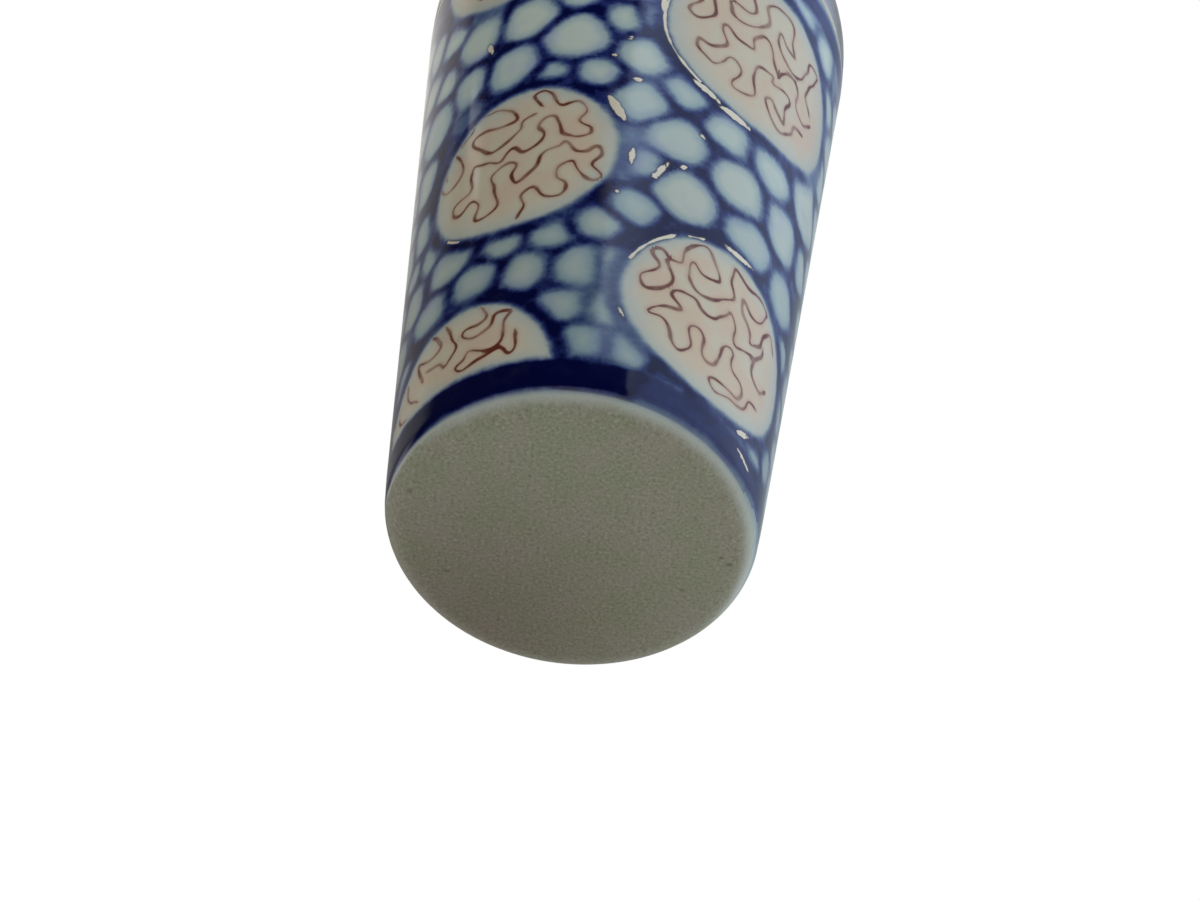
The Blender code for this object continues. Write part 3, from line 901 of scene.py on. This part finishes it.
def build_mount(silver):
    """The silver mount, finer than its node and with a softened lower edge."""
    ring_radius = CAP_RIM_RADIUS - SEAT_RING_ROUNDING
    collar_bore = COLLAR_RADIUS - MOUNT_THICKNESS
    profile = [(collar_bore, COLLAR_TOP - COLLAR_CHAMFER), (collar_bore + COLLAR_CHAMFER, COLLAR_TOP),
               (COLLAR_RADIUS - COLLAR_CHAMFER, COLLAR_TOP), (COLLAR_RADIUS, COLLAR_TOP - COLLAR_CHAMFER),
               (COLLAR_RADIUS, SEAT_HEIGHT)]
    profile += arc((ring_radius, SEAT_HEIGHT - SEAT_RING_ROUNDING), SEAT_RING_ROUNDING, 90, 0, 6)
    profile += arc((ring_radius, NECK_HEIGHT + SEAT_RING_ROUNDING), SEAT_RING_ROUNDING, 0, -90, 6)
    outside = shoulder_curve(0, 0, 48)[::-1]
    profile += [(min(radius, SHOULDER_RADIUS), height) for radius, height in outside[:-1]]
    profile += arc((SHOULDER_RADIUS - MOUNT_EDGE_ROUNDING, SHOULDER_HEIGHT + MOUNT_EDGE_ROUNDING),
                   MOUNT_EDGE_ROUNDING, -10, -90, 5)
    profile += shoulder_curve(MOUNT_THICKNESS, MOUNT_THICKNESS, 24)
    mesh = turned_mesh("silver_mount", profile, SILVER_COLUMNS, closed=True)
    return place("silver_mount", mesh, silver, "shoulder_mount", "silver")


def build_cap(silver):
    """The silver cap, finer than its node."""
    side_top = CAP_MOUTH_HEIGHT + CAP_SIDE_HEIGHT
    rim_top = CAP_MOUTH_HEIGHT + CAP_RIM_HEIGHT
    dome_start = math.degrees(math.acos(FINIAL_STALK_RADIUS / CAP_RADIUS))
    stalk_foot = side_top + CAP_DOME_RISE * math.sin(math.radians(dome_start))
    ball_end = -math.degrees(math.acos(FINIAL_STALK_RADIUS / FINIAL_RADIUS))
    ball_drop = FINIAL_RADIUS * math.sin(math.radians(ball_end))
    ball_centre = (0, stalk_foot + FINIAL_STALK_LENGTH - ball_drop)
    profile = [(0, ball_centre[1] + FINIAL_RADIUS)]
    profile += arc(ball_centre, FINIAL_RADIUS, 90, ball_end, 24)[1:]
    profile += arc((0, side_top), CAP_RADIUS, dome_start, 0, 32, CAP_DOME_RISE)
    profile += arc((CAP_RADIUS, rim_top - CAP_RIM_PROUD), CAP_RIM_PROUD, 90, 0, 6)
    profile += [(CAP_RIM_RADIUS, CAP_MOUTH_HEIGHT), (CAP_BORE_RADIUS, CAP_MOUTH_HEIGHT)]
    profile += arc((0, side_top), CAP_BORE_RADIUS, 0, 90, 12, CAP_DOME_RISE - CAP_WALL)[:-1]
    profile.append((0, side_top + CAP_DOME_RISE - CAP_WALL))
    mesh = turned_mesh("silver_cap", profile, SILVER_COLUMNS, closed=False)
    return place("silver_cap", mesh, silver, "cap", "silver")


# Camera: the photographed view, from below, as fitted to the bottle's outline
CAMERA_BELOW_DEG = 48.7
CAMERA_ROLL_DEG = 7.8
CAMERA_DISTANCE = 250.0
PIXELS_PER_MM = 15.82  # at the centre of the base
FRAME_PIXELS = (1200, 900)
BASE_CENTRE_PIXEL = (568.7, 541.2)
SENSOR_MM = 36.0


def build_camera():
    """Camera under the bottle, rolled a little, with the base's centre at its place in the frame."""
    below = math.radians(CAMERA_BELOW_DEG)
    roll = math.radians(CAMERA_ROLL_DEG)
    forward = np.array([0, math.cos(below), math.sin(below)])
    level = np.array([1.0, 0, 0])
    upright = np.cross(level, forward)
    right = math.cos(roll) * level + math.sin(roll) * upright
    up = -math.sin(roll) * level + math.cos(roll) * upright
    right_offset = (BASE_CENTRE_PIXEL[0] - FRAME_PIXELS[0] / 2) / PIXELS_PER_MM
    up_offset = (FRAME_PIXELS[1] / 2 - BASE_CENTRE_PIXEL[1]) / PIXELS_PER_MM
    position = -CAMERA_DISTANCE * forward - right_offset * right - up_offset * up
    data = bpy.data.cameras.new("camera")
    data.sensor_width = SENSOR_MM
    data.lens = SENSOR_MM * PIXELS_PER_MM * CAMERA_DISTANCE / FRAME_PIXELS[0]
    data.clip_start = 0.01
    camera = add_object("camera", data)
    columns = [right, up, -forward, position * MM]
    camera.matrix_world = Matrix([[float(c[i]) for c in columns] for i in range(3)] + [[0, 0, 0, 1]])
    bpy.context.scene.camera = camera


# Light: a dim sector of the room in front and to the left, brighter walls and soft windows round the rest.
# Azimuths run from the photographed side towards +X, heights are sines of elevations, and softnesses are
# half widths of a change.
FRONT_RADIANCE = 0.68  # dim sector, round the horizon
FRONT_TOP = (0.05, 0.06)  # height where it turns dark, and softness
RIGHT_RADIANCE = 0.85  # right wall of the room
COOL_LIGHT = (0.92, 1.0, 1.06)  # tint of the right wall
LEFT_RADIANCE = 0.92  # wall behind on the left
BELOW_RADIANCE = 0.40
DARK_RADIANCE = 0.02  # above the dim sector
ZENITH_RADIANCE = 0.9
WALL_FOOT = (-0.40, 0.08)  # height and softness
WALL_TOP = (0.46, 0.05)
ZENITH_EDGE = (0.92, 0.04)
WINDOW_RADIANCE = 0.62  # above the right wall
WINDOW_TINT = (0.97, 1.17, 1.60)
WINDOW_EDGE = (-2.0, 0.035)  # azimuth and softness of the right side's edge above the sill
WALL_EDGE = (20.0, 0.010)  # and below it
WINDOW_SILL = (0.677, 0.004)
WINDOW_END = (118.0, 0.35)
WINDOW_FADING = 0.6  # share that the window has lost past its end
BRIGHT_END = (16.0, 0.16)  # the window is brighter from its edge to here
BRIGHT_RADIANCE = 0.50
FAR_WINDOW_EDGE = (150.0, 0.30)
FAR_WINDOW = (0.43, 0.48, 0.47)  # the window's light past that
LEFT_EDGE = (-106.0, 0.09)
LEFT_SIDE = (0.12, 0.04)  # the left sector fades in between these values of x
SIDE_WINDOW = (0.74, 0.82, 0.23, 0.78)  # above the left wall: two heights, and the radiance at each
SIDE_TINT = (1.04, 1.0, 0.94)
# Narrow slanted lights, one in the dark sector and one at the window's edge: azimuth and height of the
# middle, slant, and how far to the side and along it ends, and is still whole
SLOT_DEG = -91.0
SLOT_HEIGHT = 0.742
SLOT_SLANT = 0.118
SLOT_SIDES = (0.00352, 0.00088)
SLOT_ENDS = (0.10, 0.06)
SLOT_RADIANCE = 2.2
STREAK_DEG = -2.0
STREAK_HEIGHT = 0.705
STREAK_SLANT = 5.0
STREAK_SIDES = (0.042, 0.009)
STREAK_ENDS = (0.026, 0.014)
STREAK_RADIANCE = 1.5
OVERHEAD_SIZE = 0.30
OVERHEAD_HEIGHT = 0.50
OVERHEAD_POWER = 0.9
FLOOR_HALF_SIZE = 1.5
FLOOR_DROP = 0.05  # the floor lies this much under the bottle


def past_azimuth(n, x, y, degrees):
    """How far a direction lies past an azimuth, as a sine."""
    turn = math.radians(degrees)
    return n.plus(n.times(x, math.cos(turn)), n.times(y, math.sin(turn)))


def azimuth_step(n, x, y, edge):
    """1 for directions that lie past an edge, for up to half a turn, 0 before it."""
    degrees, softness = edge
    return n.step(past_azimuth(n, x, y, degrees), -softness, softness)


def height_step(n, z, edge):
    """1 above an edge, 0 below it."""
    height, softness = edge
    return n.step(z, height - softness, height + softness)


def narrow_light(n, across, along, sides, ends):
    """1 in a narrow light, 0 outside it."""
    narrow = n.step(n.maths("ABSOLUTE", across), *sides)
    return n.times(narrow, n.step(n.maths("ABSOLUTE", along), *ends))


def bright_slot(n, x, y, z):
    """1 in the slot of light in the dark sector, 0 outside it."""
    along = past_azimuth(n, x, y, SLOT_DEG)
    across = n.plus(n.minus(z, SLOT_HEIGHT), n.times(along, SLOT_SLANT))
    return n.times(narrow_light(n, across, along, SLOT_SIDES, SLOT_ENDS), n.step(x, 0.1, -0.1))


def window_streak(n, x, y, z):
    """1 in the streak at the window's edge, 0 outside it."""
    along = n.minus(z, STREAK_HEIGHT)
    across = n.plus(past_azimuth(n, x, y, STREAK_DEG), n.times(along, STREAK_SLANT))
    return n.times(narrow_light(n, across, along, STREAK_SIDES, STREAK_ENDS), n.step(y, 0.0, -0.1))


def grey(radiance):
    """Light of one radiance in red, green and blue."""
    return (radiance,) * 3


def build_world():
    """Surroundings: white to the camera, a room with soft windows to everything else."""
    world = bpy.data.worlds.new("studio")
    bpy.context.scene.world = world
    world.use_nodes = True
    n = Nodes(world.node_tree)
    background = world.node_tree.nodes["Background"]
    direction = n.add("ShaderNodeSeparateXYZ")
    n.link(n.add("ShaderNodeTexCoord").outputs["Generated"], direction.inputs[0])
    x, y, z = direction.outputs

    lower_right = azimuth_step(n, x, y, WALL_EDGE)
    upper_right = azimuth_step(n, x, y, WINDOW_EDGE)
    right = n.times(n.maths("MAXIMUM", height_step(n, z, WINDOW_SILL), lower_right), upper_right)
    left = n.times(n.minus(1.0, azimuth_step(n, x, y, LEFT_EDGE)), n.step(x, *LEFT_SIDE))
    fading = n.times(azimuth_step(n, x, y, WINDOW_END), WINDOW_FADING)
    window = n.times(n.minus(1.0, fading), WINDOW_RADIANCE)
    bright = n.minus(1.0, azimuth_step(n, x, y, BRIGHT_END))
    window = n.plus(window, n.times(bright, BRIGHT_RADIANCE))
    window = n.mix(1.0, WINDOW_TINT, window, "MULTIPLY")
    window = n.mix(azimuth_step(n, x, y, FAR_WINDOW_EDGE), window, FAR_WINDOW)
    upper = n.mix(right, grey(DARK_RADIANCE), window)
    upper = n.mix(left, upper, n.mix(1.0, SIDE_TINT, n.step(z, *SIDE_WINDOW), "MULTIPLY"))
    upper = n.mix(bright_slot(n, x, y, z), upper, grey(SLOT_RADIANCE))
    upper = n.mix(window_streak(n, x, y, z), upper, grey(STREAK_RADIANCE))
    front_top, softness = FRONT_TOP
    front = n.step(z, front_top + softness, front_top - softness, DARK_RADIANCE, FRONT_RADIANCE)
    walls = n.mix(right, front, tuple(RIGHT_RADIANCE * c for c in COOL_LIGHT))
    walls = n.mix(left, walls, grey(LEFT_RADIANCE))
    radiance = n.mix(height_step(n, z, WALL_TOP), walls, upper)
    radiance = n.mix(height_step(n, z, ZENITH_EDGE), radiance, grey(ZENITH_RADIANCE))
    radiance = n.mix(height_step(n, z, WALL_FOOT), grey(BELOW_RADIANCE), radiance)
    seen = n.add("ShaderNodeLightPath").outputs["Is Camera Ray"]
    n.link(n.mix(seen, radiance, WHITE), background.inputs["Color"])


def build_floor():
    """A plain pale floor that is seen from above only, so that the view from below is clear."""
    mesh = bpy.data.meshes.new("floor")
    half = FLOOR_HALF_SIZE
    corners = [(-half, -half, 0), (half, -half, 0), (half, half, 0), (-half, half, 0)]
    mesh.from_pydata(corners, [], [(0, 1, 2, 3)])
    floor = add_object("floor", mesh)
    floor.location.z = -FLOOR_DROP * MM
    material, n, shader = new_material("pale_floor")
    shader.inputs["Base Color"].default_value = (*FLOOR_COLOUR, 1)
    shader.inputs["Roughness"].default_value = 0.7
    clear = n.add("ShaderNodeBsdfTransparent")
    either = n.add("ShaderNodeMixShader")
    n.link(n.add("ShaderNodeNewGeometry").outputs["Backfacing"], either.inputs[0])
    n.link(shader.outputs[0], either.inputs[1])
    n.link(clear.outputs[0], either.inputs[2])
    output = material.node_tree.nodes["Material Output"]
    n.link(either.outputs[0], output.inputs["Surface"])
    mesh.materials.append(material)
    floor.visible_diffuse = False
    floor.visible_glossy = False
    floor.visible_shadow = False


def build_lamp():
    """A soft lamp overhead, for the floor and the silver."""
    data = bpy.data.lights.new("overhead", "AREA")
    data.shape = "DISK"
    data.size = OVERHEAD_SIZE
    data.energy = OVERHEAD_POWER
    lamp = add_object("overhead", data)
    lamp.location = (0, 0, OVERHEAD_HEIGHT)
    lamp.visible_camera = False


bpy.context.scene.view_settings.view_transform = "Standard"
build_body()
silver_metal = silver_material()
build_mount(silver_metal)
build_cap(silver_metal)
build_camera()
build_world()
build_floor()
build_lamp()
